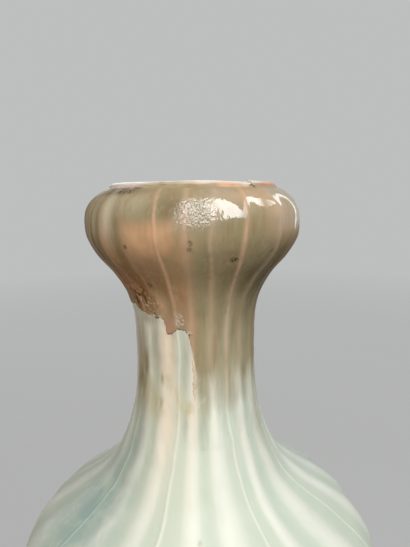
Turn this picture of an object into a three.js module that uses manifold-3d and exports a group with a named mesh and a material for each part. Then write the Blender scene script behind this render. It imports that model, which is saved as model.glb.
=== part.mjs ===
import * as THREE from 'three';
import { mergeVertices } from 'three/addons/utils/BufferGeometryUtils.js';
import Module from 'manifold-3d';

// A lobed celadon bottle vase with a bulb-shaped mouth, in millimetres, +Z up, foot on z = 0.
// It was thrown in sections, which were set on each other with slip at flat butt joints.
// An angle is measured from the front (-Y) towards +X.

// Heights, each measured up from the one before
const footHeight = 14;      // foot ring
const bellyRise = 99;       // joint of the foot to the widest girth
const shoulderRise = 67;    // widest girth to the slope of the shoulder
const collarRise = 35;      // slope of the shoulder to the base of the neck
const neckRise = 80.7;      // base of the neck to its waist
const flareRise = 55;       // waist of the neck to the underside of the mouth bulb
const bulbRise = 23.4;      // underside of the bulb to its crest
const crownRise = 21;       // crest of the bulb to the joint of the lip
const lipHeight = 4.9;      // joint of the lip to its top

// Outer radii at those heights, over the ribs
const footRadius = 73;
const bellyRadius = 125;
const shoulderRadius = 101;
const collarRadius = 58.2;
const waistRadius = 38.6;
const flareRadius = 54.9;
const bulbRadius = 66.8;

// Slopes of the outside there, as radius gained for each millimetre of height
const footSlope = 1.45;
const shoulderSlope = -1.3;
const collarSlope = -0.61;
const flareSlope = 0.93;
const crownSlope = -1.65;

// Walls, square to the surface
const footWall = 8;
const bodyWall = 7;
const neckWall = 5.5;
const mouthWall = 5;

// Ribs: each lobe has a groove in its middle and a sharp ridge at either side
const lobes = 8;
const grooveAngle = 5.5;    // degrees, the first groove
const fluteDepth = 1.5;     // at the widest girth
const fluteFade = 9;        // the ribs run out over this height below the lip
const footFade = 24;        // and over this height above the foot
// Share of the way from groove to ridge, and share of the depth there
const flute = [[0, 1], [0.14, 0.55], [0.36, 0], [0.8, 0.75], [1, 0.1]];

// Foot ring and the disc that closes the bottom
const footToe = 68;         // outer radius where it rests
const footChamfer = 2;
const footRecess = 55;      // inner radius under the disc
const discRadius = 60;
const discThickness = 6;
const discClearance = 0.3;
const discDish = 1.6;       // the disc is thinner by this in its middle
const discCover = 2.5;      // the slip of the joint laps over the disc by this

// Slip in the joints, squeezed out into a bead inside
const slipThickness = 1;
const slipBead = 0.8;

// Lip, and the piece of it that broke out and was bonded back
const mouthRadius = 46;     // bore
const lipWidth = 6.2;       // across its rounded top
const lipFlare = 3;         // wider by this at its foot
const lipCrease = 0.5;      // the bulb stands out from it by this
const lipRound = 2.2;       // height of its rounded top
const breakStart = 38;      // degrees
const breakSpan = 60;       // degrees
const breakJag = 1.6;       // degrees, how far the break wanders
const breakSteps = 5;       // turns of the break across the lip
const bondGap = 0.3;

// Old overpaint on the mouth and neck, a skin that has partly flaked off
const filmThickness = 0.5;
const filmClearance = 0.3;
const filmStart = 1.2;      // below the joint of the lip
// Angle in degrees, and how far below the top of the lip the skin ends there
const filmEdge = [
  [-180, 116], [-150, 128], [-120, 119], [-98, 126], [-84, 112], [-74, 73], [-34, 77], [-28, 85],
  [-16, 86], [-6, 88], [0, 133], [6, 135], [17, 122], [55, 121], [90, 126], [125, 115], [180, 116]
];

// Facets: rows up each section, outside and inside, and steps round the lip
const outerRows = 7;
const innerRows = 4;
const bulbRows = 9;
const lipSteps = 6;

const footTop = footHeight;
const bellyZ = footTop + bellyRise;
const shoulderZ = bellyZ + shoulderRise;
const collarZ = shoulderZ + collarRise;
const waistZ = collarZ + neckRise;
const flareZ = waistZ + flareRise;
const bulbZ = flareZ + bulbRise;
const crownZ = bulbZ + crownRise;
const topZ = crownZ + lipHeight;

const lipTopRadius = mouthRadius + lipWidth;
const lipFootRadius = lipTopRadius + lipFlare;
const crownRadius = lipFootRadius + lipCrease;
const breakEnd = breakStart + breakSpan;

const stations = [
  { z: footTop, r: footRadius, slope: footSlope, wall: footWall },
  { z: bellyZ, r: bellyRadius, slope: 0, wall: bodyWall },
  { z: shoulderZ, r: shoulderRadius, slope: shoulderSlope, wall: bodyWall },
  { z: collarZ, r: collarRadius, slope: collarSlope, wall: neckWall },
  { z: waistZ, r: waistRadius, slope: 0, wall: neckWall },
  { z: flareZ, r: flareRadius, slope: flareSlope, wall: mouthWall },
  { z: bulbZ, r: bulbRadius, slope: 0, wall: mouthWall },
  { z: crownZ, r: crownRadius, slope: crownSlope, wall: mouthWall }
];

// Radius, slope and wall at a height: a cubic between each two stations that keeps their slopes
function profile(z) {
  const last = stations.length - 2;
  const i = Math.min(last, Math.max(0, stations.findLastIndex((s) => s.z <= z)));
  const a = stations[i];
  const b = stations[i + 1];
  const h = b.z - a.z;
  const t = THREE.MathUtils.clamp((z - a.z) / h, 0, 1);
  const r = a.r * (1 + 2 * t) * (1 - t) ** 2 + a.slope * h * t * (1 - t) ** 2
    + b.r * t * t * (3 - 2 * t) + b.slope * h * t * t * (t - 1);
  const slope = ((b.r - a.r) * 6 * t * (1 - t)) / h
    + a.slope * (1 - t) * (1 - 3 * t) + b.slope * t * (3 * t - 2);
  return { r, slope, wall: THREE.MathUtils.lerp(a.wall, b.wall, t) };
}

// Value at x on straight lines between listed points
function along(points, x) {
  const i = Math.max(1, points.findIndex(([p]) => p >= x));
  const [x0, y0] = points[i - 1];
  const [x1, y1] = points[i];
  return THREE.MathUtils.mapLinear(x, x0, x1, y0, y1);
}

// How far the surface lies below the rib crests
function relief(angle, z) {
  const half = 180 / lobes;
  const turn = THREE.MathUtils.euclideanModulo(angle - grooveAngle, 2 * half);
  const share = Math.min(turn, 2 * half - turn) / half;
  const fade = THREE.MathUtils.smoothstep(z, footTop, footTop + footFade)
    * (1 - THREE.MathUtils.smoothstep(z, crownZ - fluteFade, crownZ));
  return fluteDepth * Math.sqrt(profile(z).r / bellyRadius) * fade * along(flute, share);
}

// A millimetre square to the surface, measured along the radius
const slant = (slope) => Math.hypot(1, slope);

function outside(angle, z, offset = 0) {
  const { r, slope } = profile(z);
  return [r - relief(angle, z) + offset * slant(slope), z];
}

function inside(z, bead = 0) {
  const { r, slope, wall } = profile(z);
  return [r - (wall + bead) * slant(slope), z];
}

// Column angles: the listed places of the flute pattern, mirrored about each groove and ridge
const columns = [];
for (let lobe = 0; lobe < lobes; lobe += 1) {
  const half = 180 / lobes;
  const groove = grooveAngle + lobe * 2 * half;
  flute.forEach(([share]) => columns.push(groove + share * half));
  flute.slice(1, -1).reverse().forEach(([share]) => columns.push(groove + (2 - share) * half));
}

const levels = (from, to, rows) => Array.from({ length: rows + 1 }, (_, i) => from + ((to - from) * i) / rows);

// One closed body: doubled points are merged and triangles without area dropped
function closedBody(geometry) {
  geometry.deleteAttribute('normal');
  geometry.deleteAttribute('uv');
  const merged = mergeVertices(geometry, 1e-4);
  const index = Array.from(merged.index.array);
  const kept = [];
  for (let i = 0; i < index.length; i += 3) {
    const [a, b, c] = index.slice(i, i + 3);
    if (a !== b && b !== c && c !== a) kept.push(a, b, c);
  }
  merged.setIndex(kept);
  return merged;
}

// An outline carried round the axis. It runs up the outside and down the inside, and may differ
// from column to column, with as many points in each.
function turned(outlineAt) {
  const outlines = columns.map((angle) => {
    const outline = outlineAt(angle);
    return outline[0][0] === 0 ? outline : [...outline, outline[0]];
  });
  const points = outlines[0].map(([r, z]) => new THREE.Vector2(r, z));
  const geometry = new THREE.LatheGeometry(points, columns.length);
  const position = geometry.getAttribute('position');
  for (let i = 0; i < position.count; i += 1) {
    const column = Math.floor(i / points.length) % columns.length;
    const [r, z] = outlines[column][i % points.length];
    const angle = THREE.MathUtils.degToRad(columns[column]);
    position.setXYZ(i, r * Math.sin(angle), -r * Math.cos(angle), z);
  }
  return closedBody(geometry);
}

// A thrown section between two heights
function section(from, to, rows) {
  const up = levels(from, to, rows);
  const down = levels(to, from, innerRows);
  return turned((angle) => [...up.map((z) => outside(angle, z)), ...down.map((z) => inside(z))]);
}

// The slip that fills a joint, from its lower face up, with its bead inside
function slipRing(z, upperBore = inside(z + slipThickness, slipBead), lowerBore = inside(z, slipBead)) {
  return turned((angle) => [outside(angle, z), outside(angle, z + slipThickness), upperBore, lowerBore]);
}

// The slip in the joint of the foot laps over the rim of the disc and holds it
function footSlip() {
  const bore = discRadius - discCover;
  return slipRing(footTop, [bore, footTop + slipThickness], [bore, footTop]);
}

const discSeat = footTop - discThickness;

function footRing() {
  const seatRadius = discRadius + discClearance;
  return turned(() => [
    [footRecess, 0], [footToe - footChamfer, 0], [footToe, footChamfer], [footRadius, footTop],
    [seatRadius, footTop], [seatRadius, discSeat], [footRecess, discSeat]
  ]);
}

function baseDisc() {
  const dish = footRecess - footChamfer;
  return turned(() => [
    [0, discSeat + discDish], [dish, discSeat], [discRadius, discSeat], [discRadius, footTop], [0, footTop]
  ]);
}

const lipBase = crownZ + slipThickness;

function lipSlip() {
  const bore = mouthRadius - slipBead;
  return turned(() => [[bore, crownZ], [lipFootRadius, crownZ], [lipFootRadius, lipBase], [bore, lipBase]]);
}

function wholeLip() {
  const middle = (lipTopRadius + mouthRadius) / 2;
  const crest = new THREE.EllipseCurve(middle, topZ - lipRound, lipTopRadius - middle, lipRound, 0, Math.PI);
  const round = crest.getPoints(lipSteps).map((p) => [p.x, p.y]);
  return turned(() => [[mouthRadius, lipBase], [lipFootRadius, lipBase], ...round]);
}

// The part of a full turn that the break takes out, as an upright wedge with wandering sides
function breakWedge(gap) {
  const at = (angle, r) => {
    const a = THREE.MathUtils.degToRad(angle);
    return new THREE.Vector2(r * Math.sin(a), -r * Math.cos(a));
  };
  const reach = lipFootRadius + lipRound;
  const radii = levels(mouthRadius - lipRound, reach, breakSteps);
  const side = (angle, inwards) => radii.map((r, i) => {
    const jag = i % 2 ? breakJag : 0;
    return at(angle + jag + inwards * THREE.MathUtils.radToDeg(gap / r), r);
  });
  const round = levels(breakStart, breakEnd, 2 * breakSteps).slice(2, -1).map((angle) => at(angle, reach));
  const shape = new THREE.Shape([...side(breakStart, 1), ...round, ...side(breakEnd, -1).reverse()]);
  const wedge = new THREE.ExtrudeGeometry(shape, { depth: topZ, bevelEnabled: false });
  return closedBody(wedge.translate(0, 0, crownZ));
}

// The skin lies just off the facets of the neck and mouth, and stops at its torn edge
function overpaint() {
  const rows = [...levels(collarZ, flareZ, outerRows), ...levels(flareZ + slipThickness, crownZ, bulbRows)];
  const onFacets = (angle, z, offset) => {
    const i = Math.max(1, rows.findIndex((row) => row >= z));
    const [below, above] = [rows[i - 1], rows[i]].map((row) => outside(angle, row, offset)[0]);
    return [THREE.MathUtils.mapLinear(z, rows[i - 1], rows[i], below, above), z];
  };
  const lowest = topZ - Math.max(...filmEdge.map(([, drop]) => drop));
  const used = rows.slice(rows.findLastIndex((z) => z <= lowest));
  return turned((angle) => {
    const turn = THREE.MathUtils.euclideanModulo(angle + 180, 360) - 180;
    const edge = topZ - along(filmEdge, turn);
    const heights = used.map((z) => THREE.MathUtils.clamp(z, edge, crownZ - filmStart));
    return [
      ...heights.map((z) => onFacets(angle, z, filmClearance + filmThickness)),
      ...heights.map((z) => onFacets(angle, z, filmClearance)).reverse()
    ];
  });
}

const wasm = await Module();
wasm.setup();

function solid(geometry) {
  return new wasm.Manifold(new wasm.Mesh({
    numProp: 3,
    vertProperties: new Float32Array(geometry.getAttribute('position').array),
    triVerts: new Uint32Array(geometry.index.array)
  }));
}

function surface(manifold) {
  const mesh = manifold.getMesh();
  const geometry = new THREE.BufferGeometry();
  geometry.setAttribute('position', new THREE.BufferAttribute(mesh.vertProperties, 3));
  geometry.setIndex(new THREE.BufferAttribute(mesh.triVerts, 1));
  return geometry;
}

const lip = solid(wholeLip());
const lipRing = surface(lip.subtract(solid(breakWedge(0))));
const rimShard = surface(lip.intersect(solid(breakWedge(bondGap))));

const celadon = { color: '#b9cfc4', roughness: 0.16, metalness: 0 };
const biscuit = { color: '#b98a6a', roughness: 0.8, metalness: 0 };
const slipClay = { color: '#a9b5a6', roughness: 0.6, metalness: 0 };
const lacquer = { color: '#9c835c', roughness: 0.3, metalness: 0 };

const vase = new THREE.Group();

function piece(name, geometry, finish) {
  const mesh = new THREE.Mesh(geometry, new THREE.MeshStandardMaterial(finish));
  mesh.name = name;
  vase.add(mesh);
}

piece('foot_ring', footRing(), biscuit);
piece('base_disc', baseDisc(), biscuit);
piece('foot_slip', footSlip(), slipClay);
piece('lower_body', section(footTop + slipThickness, bellyZ, outerRows), celadon);
piece('belly_slip', slipRing(bellyZ), slipClay);
piece('upper_body', section(bellyZ + slipThickness, collarZ - slipThickness, outerRows), celadon);
piece('collar_slip', slipRing(collarZ - slipThickness), slipClay);
piece('neck', section(collarZ, flareZ, outerRows), celadon);
piece('flare_slip', slipRing(flareZ), slipClay);
piece('mouth_bulb', section(flareZ + slipThickness, crownZ, bulbRows), celadon);
piece('lip_slip', lipSlip(), slipClay);
piece('lip_ring', lipRing, celadon);
piece('rim_shard', rimShard, celadon);
piece('overpaint_film', overpaint(), lacquer);

export default vase;
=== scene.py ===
"""A lobed celadon bottle vase with old overpaint on its mouth and neck.

The vase stands on its foot at z = 0. Sizes are in millimetres until a mesh is made. An angle is
measured in degrees from the front (-Y) towards +X, and a drop in millimetres down from the top of
the lip. The outside is one surface, worked out by the Skin class, which every glazed section and
the overpaint share.
"""

import logging
import math
from collections.abc import Callable
from dataclasses import dataclass, field
from enum import Enum

import bpy
import numpy as np
from mathutils import Matrix, Vector


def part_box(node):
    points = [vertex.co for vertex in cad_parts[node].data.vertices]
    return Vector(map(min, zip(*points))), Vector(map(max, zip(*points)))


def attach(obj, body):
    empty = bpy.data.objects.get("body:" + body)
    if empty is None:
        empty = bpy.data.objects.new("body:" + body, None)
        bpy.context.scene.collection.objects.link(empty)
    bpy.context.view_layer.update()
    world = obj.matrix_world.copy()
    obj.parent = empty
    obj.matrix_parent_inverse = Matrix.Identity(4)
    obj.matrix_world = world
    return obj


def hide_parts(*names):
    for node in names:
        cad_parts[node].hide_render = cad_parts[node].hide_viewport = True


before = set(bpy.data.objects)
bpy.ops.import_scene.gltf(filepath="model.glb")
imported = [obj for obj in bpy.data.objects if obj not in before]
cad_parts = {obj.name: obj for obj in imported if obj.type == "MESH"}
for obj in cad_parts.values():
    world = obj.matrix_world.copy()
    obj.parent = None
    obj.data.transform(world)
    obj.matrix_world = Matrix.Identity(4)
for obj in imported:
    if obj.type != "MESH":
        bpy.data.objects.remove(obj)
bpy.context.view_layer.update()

log = logging.getLogger("celadon_vase")

Array = np.ndarray
Profile = Callable[[Array], Array]
Material = bpy.types.Material
Object = bpy.types.Object
Socket = bpy.types.NodeSocket
Tree = bpy.types.NodeTree

MM = 0.001
IMAGE_HEIGHT_PX = 547
FULL_TURN = 360.0


class Slot(Enum):
    """The finishes that the record names."""

    GLAZE = "celadon_glaze"
    BISCUIT = "unglazed_biscuit"
    SLIP = "luting_slip"
    PAINT = "aged_overpaint"


def linear(code: str) -> tuple[float, float, float, float]:
    """Turns an sRGB hex colour into linear light.

    Args:
        code: a hash and six hex digits.

    Returns:
        Red, green, blue and an alpha of one.
    """
    parts = [int(code[i:i + 2], 16) / 255 for i in (1, 3, 5)]
    values = [p / 12.92 if p <= 0.04045 else ((p + 0.055) / 1.055) ** 2.4 for p in parts]
    return (values[0], values[1], values[2], 1.0)


def smooth(low: float, high: float, x: Array) -> Array:
    """Rises from 0 at low to 1 at high as 3 t squared less 2 t cubed, where t is the way between them."""
    t = np.clip((x - low) / (high - low), 0.0, 1.0)
    return t * t * (3.0 - 2.0 * t)


def wrapped(angle: Array) -> Array:
    """Brings an angle in degrees between -180 and 180."""
    return (angle + 180.0) % FULL_TURN - 180.0


def spread(low: float, high: float, count: int, density: Profile, samples: int = 6001) -> Array:
    """Places stations from low to high, closer together where the density is higher.

    The density is summed along the way, and the stations stand at equal steps of that sum.

    Args:
        low: first station.
        high: last station.
        count: steps between them.
        density: gives the density at an array of places.
        samples: number of places over which the density is summed.

    Returns:
        The places of count + 1 stations.
    """
    fine = np.linspace(low, high, samples)
    weight = density(fine)
    run = np.concatenate([[0.0], np.cumsum((weight[1:] + weight[:-1]) / 2)])
    return np.interp(np.linspace(0.0, run[-1], count + 1), run, fine)


def hill(x: Array, low: float, high: float, soft: float) -> Array:
    """One between low and high, and zero outside them, with soft shoulders."""
    return smooth(low - soft, low, x) * smooth(high + soft, high, x)


class Ripple:
    """Smooth irregularity of a thrown surface: a seeded sum of waves that closes round the axis.

    Each wave is the cosine of a whole number times the angle, plus a wave number times the
    height, plus a phase. The sum is scaled to a root mean square of one.
    """

    def __init__(self, seed: int, size_mm: float, radius_mm: float, waves: int = 24) -> None:
        """Draws the waves.

        Args:
            seed: start of the random draws.
            size_mm: typical distance from one crest to the next.
            radius_mm: radius at which the waves round the axis have that size.
            waves: how many waves are summed.
        """
        rng = np.random.default_rng(seed)
        heading = rng.uniform(0.0, 2.0 * np.pi, waves)
        pitch = size_mm * rng.uniform(0.6, 1.8, waves)
        turns = 2.0 * np.pi * radius_mm / pitch
        self.around = np.round(turns * np.cos(heading))
        self.up = 2.0 * np.pi * np.sin(heading) / pitch
        self.phase = rng.uniform(0.0, 2.0 * np.pi, waves)

    def __call__(self, angle: Array, z: Array) -> Array:
        """The ripple at some places.

        Args:
            angle: angles in degrees.
            z: heights in millimetres.

        Returns:
            The sum of the waves there, over the root of half their number.
        """
        total = np.zeros(np.broadcast(angle, z).shape)
        for around, up, phase in zip(self.around, self.up, self.phase):
            total += np.cos(around * np.radians(angle) + up * z + phase)
        return total * math.sqrt(2.0 / len(self.around))


@dataclass(frozen=True)
class Station:
    """A height at which the outside has a set radius and slope, with the wall inside it."""

    z: float
    radius: float
    slope: float
    wall: float


@dataclass(frozen=True)
class Form:
    """The turned shape of the vase: a cubic between each two stations that keeps their slopes."""

    stations: tuple[Station, ...]

    def outside(self, z: Array) -> tuple[Array, Array, Array]:
        """Radius, slope and wall at some heights.

        Between two stations the radius is the cubic that has their radii and slopes at its ends,
        the slope is how that cubic changes, and the wall changes evenly.

        Args:
            z: heights in millimetres.

        Returns:
            Radius over the ribs, radius gained per millimetre of height, and wall thickness.
        """
        heights = np.array([s.z for s in self.stations])
        low = np.clip(np.searchsorted(heights, z, side="right") - 1, 0, len(heights) - 2)
        values = np.array([(s.z, s.radius, s.slope, s.wall) for s in self.stations])
        z0, r0, m0, w0 = np.moveaxis(values[low], -1, 0)
        z1, r1, m1, w1 = np.moveaxis(values[low + 1], -1, 0)
        h = z1 - z0
        t = (z - z0) / h
        radius = (r0 * (1 + 2 * t) * (1 - t) ** 2 + m0 * h * t * (1 - t) ** 2
                  + r1 * t * t * (3 - 2 * t) + m1 * h * t * t * (t - 1))
        slope = (r1 - r0) * 6 * t * (1 - t) / h + m0 * (1 - t) * (1 - 3 * t) + m1 * t * (3 * t - 2)
        return radius, slope, w0 + (w1 - w0) * t

    def heights(self, low: float, high: float, step: float, focus: Profile = np.ones_like,
                samples: int = 501) -> Array:
        """Heights that lie about a step apart along the outline.

        Args:
            low: first height.
            high: last height.
            step: millimetres between two heights where the focus is one.
            focus: how many times closer together they lie, at an array of heights.
            samples: number of heights over which the length of the outline is taken.

        Returns:
            The heights, upwards.
        """
        def density(z: Array) -> Array:
            """Steps for each millimetre of height: more of them where the outline slants."""
            return np.hypot(1.0, self.outside(z)[1]) * focus(z) / step

        fine = np.linspace(low, high, samples)
        count = max(2, math.ceil(np.mean(density(fine)) * (high - low)))
        return spread(low, high, count, density)


@dataclass(frozen=True)
class Flutes:
    """The ribs: a lobe has a groove in its middle, a broad rib on either side and a ridge at either end.

    Places are shares of the way from a groove to a ridge, and the depths in a groove, in a valley
    and on a ridge are shares of the depth of the ribs.
    """

    lobes: int = 8
    groove_angle: float = 5.5
    depth: float = 1.5
    depth_radius: float = 125.0
    crest_place: float = 0.4
    valley_place: float = 0.8
    groove_share: float = 0.55
    valley_share: float = 0.5
    ridge_share: float = 0.3
    ridge_width: float = 1.0
    ridge_crowding: float = 3.0
    ridge_zone: float = 0.07

    def columns(self, count: int, focus: Profile = np.ones_like) -> Array:
        """Angles of the mesh columns, closer together at the sharp ridges.

        Args:
            count: how many columns there are all the way round.
            focus: how many times closer together they lie, at an array of angles.

        Returns:
            Angles in degrees from -180 to 180, without the last, which is the first again.
        """
        def density(angle: Array) -> Array:
            """Density of the columns, with a bell on each ridge."""
            bell = np.exp(-((1.0 - self.share(angle)) / self.ridge_zone) ** 2)
            return (1.0 + self.ridge_crowding * bell) * focus(angle)

        return spread(-180.0, 180.0, count, density)[:-1]

    def share(self, pattern: Array) -> Array:
        """The way from a groove to the next ridge: the angle from the groove, over half a lobe.

        Args:
            pattern: angles in the pattern of the ribs.

        Returns:
            Numbers from 0 in a groove to 1 on a ridge.
        """
        half = 180.0 / self.lobes
        turn = (pattern - self.groove_angle) % (2.0 * half)
        return np.minimum(turn, 2.0 * half - turn) / half

    def bell(self, pattern: Array, radius: Array, place: float, width: float) -> Array:
        """A bell about a place on the way: e to minus the square of its distance over a width."""
        away = (self.share(pattern) - place) * math.radians(180.0 / self.lobes) * radius
        return np.exp(-(away / width) ** 2)

    def thickness(self, pattern: Array, radius: Array) -> Array:
        """How deep the surface lies in the pattern, as a share of the depth of the ribs.

        From groove to rib and from rib to valley it changes along half a cosine wave, and a
        bell-shaped bead stands on each ridge.

        Args:
            pattern: angles in the pattern of the ribs.
            radius: radius there, which keeps the beads equally wide at the neck and the body.

        Returns:
            Nought on a rib, about a half in a groove or a valley.
        """
        share = self.share(pattern)
        rise = np.clip(share / self.crest_place, 0.0, 1.0)
        fall = np.clip((share - self.crest_place) / (self.valley_place - self.crest_place), 0.0, 1.0)
        groove = self.groove_share * (1.0 + np.cos(np.pi * rise)) / 2.0
        valley = self.valley_share * (1.0 - np.cos(np.pi * fall)) / 2.0
        return groove + valley - self.ridge_share * self.bell(pattern, radius, 1.0, self.ridge_width)


@dataclass(frozen=True)
class Drift:
    """A place where the ribs wander sideways by some degrees."""

    angle: float
    z: float
    shift: float
    half_angle: float
    half_height: float


@dataclass(frozen=True)
class Skin:
    """The whole outside of the glaze: the turned form, its ribs and its unevenness."""

    form: Form
    flutes: Flutes
    crown_z: float
    foot_z: float
    drifts: tuple[Drift, ...]
    fade_below_lip: float = 9.0
    fade_above_foot: float = 24.0
    inset: float = 0.25
    swell: float = 0.09
    hammer_share: float = 0.25
    sway: float = 0.45
    waver: Ripple = field(default_factory=lambda: Ripple(11, 34.0, 70.0))
    swells: Ripple = field(default_factory=lambda: Ripple(12, 19.0, 70.0))
    hammered: Ripple = field(default_factory=lambda: Ripple(13, 6.5, 60.0, 40))

    def angle(self, pattern: Array, z: Array) -> Array:
        """The real angle of lines of the pattern.

        To a line's own angle it adds a slow waver and, for each drift, its shift times a bell of
        the distances from its middle.

        Args:
            pattern: angles in the pattern.
            z: heights.

        Returns:
            Angles in degrees.
        """
        shift = self.sway * self.waver(pattern, z)
        for drift in self.drifts:
            off = wrapped(pattern - drift.angle) / drift.half_angle
            shift = shift + drift.shift * np.exp(-off ** 2 - ((z - drift.z) / drift.half_height) ** 2)
        return pattern + shift

    def thickness(self, pattern: Array, z: Array) -> Array:
        """How deep the surface lies in the ribs, which fade out at the lip and the foot.

        Args:
            pattern: angles in the pattern.
            z: heights.

        Returns:
            Shares of the depth of the ribs.
        """
        radius = self.form.outside(z)[0]
        fade = smooth(self.foot_z, self.foot_z + self.fade_above_foot, z)
        fade = fade * (1.0 - smooth(self.crown_z - self.fade_below_lip, self.crown_z, z))
        return fade * self.flutes.thickness(pattern, radius)

    def radius(self, pattern: Array, z: Array) -> Array:
        """The radius of the glaze, in millimetres.

        It is the turned radius less the depth of the ribs, which grows with the root of the
        radius, less a small inset with slow swells and a finer unevenness on it.

        Args:
            pattern: angles in the pattern.
            z: heights.

        Returns:
            Radii.
        """
        radius, slope, _ = self.form.outside(z)
        slant = np.hypot(1.0, slope)
        ribs = self.flutes.depth * np.sqrt(radius / self.flutes.depth_radius) * self.thickness(pattern, z)
        uneven = self.swell * (self.swells(pattern, z) + self.hammer_share * self.hammered(pattern, z))
        return radius - slant * (ribs + self.inset - uneven)

    def grid(self, pattern: Array, z: Array) -> tuple[Array, Array, Array]:
        """Lays columns and rows out as a grid.

        Args:
            pattern: angles in the pattern, one for each column.
            z: heights, one for each row.

        Returns:
            The pattern's angle, the height and the real angle at each point, as rows by columns.
        """
        grid_z, grid_pattern = np.meshgrid(z, pattern, indexing="ij")
        return grid_pattern, grid_z, self.angle(grid_pattern, grid_z)

    def points(self, pattern: Array, z: Array, lift: Array | float = 0.0) -> Array:
        """Points of the outside on a grid, lifted off the glaze square to the turned form.

        Args:
            pattern: angles in the pattern, one for each column.
            z: heights, one for each row.
            lift: millimetres off the glaze, for the whole grid or for each point.

        Returns:
            An array of rows by columns by three, in millimetres.
        """
        grid_pattern, grid_z, angle = self.grid(pattern, z)
        slant = np.hypot(1.0, self.form.outside(grid_z)[1])
        return polar(angle, self.radius(grid_pattern, grid_z) + lift * slant, grid_z)


def polar(angle: Array, radius: Array, z: Array) -> Array:
    """Points at an angle, a radius and a height: x goes by the sine of the angle, -y by its cosine."""
    turn, radius, z = np.broadcast_arrays(np.radians(angle), radius, z)
    return np.stack([radius * np.sin(turn), -radius * np.cos(turn), z], axis=-1)


def with_ghosts(z: Array) -> Array:
    """Heights with one more before and after them, a step away, for the normals of the end rows."""
    return np.concatenate([[2 * z[0] - z[1]], z, [2 * z[-1] - z[-2]]])


def grid_normals(points: Array) -> Array:
    """Unit normals of a grid that closes round its columns.

    The normal is the cross product of the step to the next column and the step to the next row,
    both taken across two steps of the grid.

    Args:
        points: rows by columns by three.

    Returns:
        An array of the same shape.
    """
    across = np.roll(points, -1, axis=1) - np.roll(points, 1, axis=1)
    upwards = np.gradient(points, axis=0)
    normals = np.cross(across, upwards)
    return normals / np.linalg.norm(normals, axis=-1, keepdims=True)


def placed(name: str, data: bpy.types.ID) -> Object:
    """Makes an object at the origin and links it to the scene.

    Args:
        name: the object's name.
        data: a mesh, a lamp or a camera.

    Returns:
        The object.
    """
    piece = bpy.data.objects.new(name, data)
    bpy.context.scene.collection.objects.link(piece)
    return piece


def mesh_object(name: str, points: Array, faces: Array, normals: Array | None = None,
                values: dict[str, Array] | None = None, caps: list[list[int]] | None = None) -> Object:
    """Makes a mesh object from arrays.

    Args:
        name: the piece's name.
        points: vertices in millimetres.
        faces: four vertex numbers for each face.
        normals: a normal for each vertex, or none to leave them to the faces.
        values: named numbers, one for each vertex.
        caps: further faces, with any number of corners.

    Returns:
        The object, linked to the scene, at the origin.
    """
    mesh = bpy.data.meshes.new(name)
    caps = caps or []
    loops = np.concatenate([faces.ravel()] + [np.array(c) for c in caps]).astype(np.int32)
    sizes = np.concatenate([np.full(len(faces), 4), [len(c) for c in caps]]).astype(np.int32)
    starts = np.concatenate([[0], np.cumsum(sizes)[:-1]]).astype(np.int32)
    mesh.vertices.add(len(points))
    mesh.vertices.foreach_set("co", (points * MM).astype(np.float32).ravel())
    mesh.loops.add(len(loops))
    mesh.loops.foreach_set("vertex_index", loops)
    mesh.polygons.add(len(sizes))
    mesh.polygons.foreach_set("loop_start", starts)
    mesh.polygons.foreach_set("use_smooth", np.ones(len(sizes), bool))
    mesh.update(calc_edges=True)
    mesh.validate()
    for key, numbers in (values or {}).items():
        attribute = mesh.attributes.new(key, "FLOAT", "POINT")
        attribute.data.foreach_set("value", numbers.astype(np.float32).ravel())
    if normals is not None:
        mesh.normals_split_custom_set_from_vertices(normals.reshape(-1, 3).tolist())
    return placed(name, mesh)


def grid_faces(rows: int, columns: int, closed_rows: bool = True, closed_columns: bool = True) -> Array:
    """Faces of a grid, which may close round its rows, its columns or both.

    Args:
        rows: number of rows.
        columns: number of columns.
        closed_rows: whether the last row joins the first.
        closed_columns: whether the last column joins the first.

    Returns:
        Four vertex numbers for each face.
    """
    r, c = np.meshgrid(np.arange(rows - (not closed_rows)), np.arange(columns - (not closed_columns)),
                       indexing="ij")
    r1, c1 = (r + 1) % rows, (c + 1) % columns
    quads = np.stack([r * columns + c, r * columns + c1, r1 * columns + c1, r1 * columns + c], -1)
    return quads.reshape(-1, 4)


def ring_body(name: str, sheets: list[tuple[Array, Array]], values: dict[str, Array]) -> Object:
    """A closed body from sheets that follow each other round its section.

    Args:
        name: the piece's name.
        sheets: points and normals of each sheet, up the outside and then down the inside.
        values: named numbers for the first sheet; the other sheets get zero.

    Returns:
        The object.
    """
    points = np.concatenate([p for p, _ in sheets])
    normals = np.concatenate([n for _, n in sheets])
    rows, columns = points.shape[:2]
    full = {}
    for key, numbers in values.items():
        full[key] = np.zeros((rows, columns))
        full[key][:len(numbers)] = numbers
    return mesh_object(name, points.reshape(-1, 3), grid_faces(rows, columns), normals, full)


def dressed(piece: Object, node: str, slot: Slot, material: Material) -> Object:
    """Gives a piece its finish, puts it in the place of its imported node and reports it.

    Args:
        piece: the new piece.
        node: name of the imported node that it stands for.
        slot: the record's finish.
        material: the finish made here.

    Returns:
        The piece.
    """
    piece.data.materials.append(material)
    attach(piece, "root")
    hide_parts(node)
    log.info("%s stands for %s with %d faces", piece.name, node, len(piece.data.polygons))
    return piece


def feed(node: bpy.types.Node, **inputs) -> None:
    """Sets or links a node's inputs.

    Args:
        node: the node.
        inputs: a value or a socket for each input, which goes by its name, with underscores for
            spaces, or by its number, as in in0 or in7.
    """
    for key, value in inputs.items():
        where = int(key[2:]) if key[:2] == "in" and key[2:].isdigit() else key.replace("_", " ")
        socket = node.inputs[where]
        if isinstance(value, Socket):
            node.id_data.links.new(value, socket)
        else:
            socket.default_value = value


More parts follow.
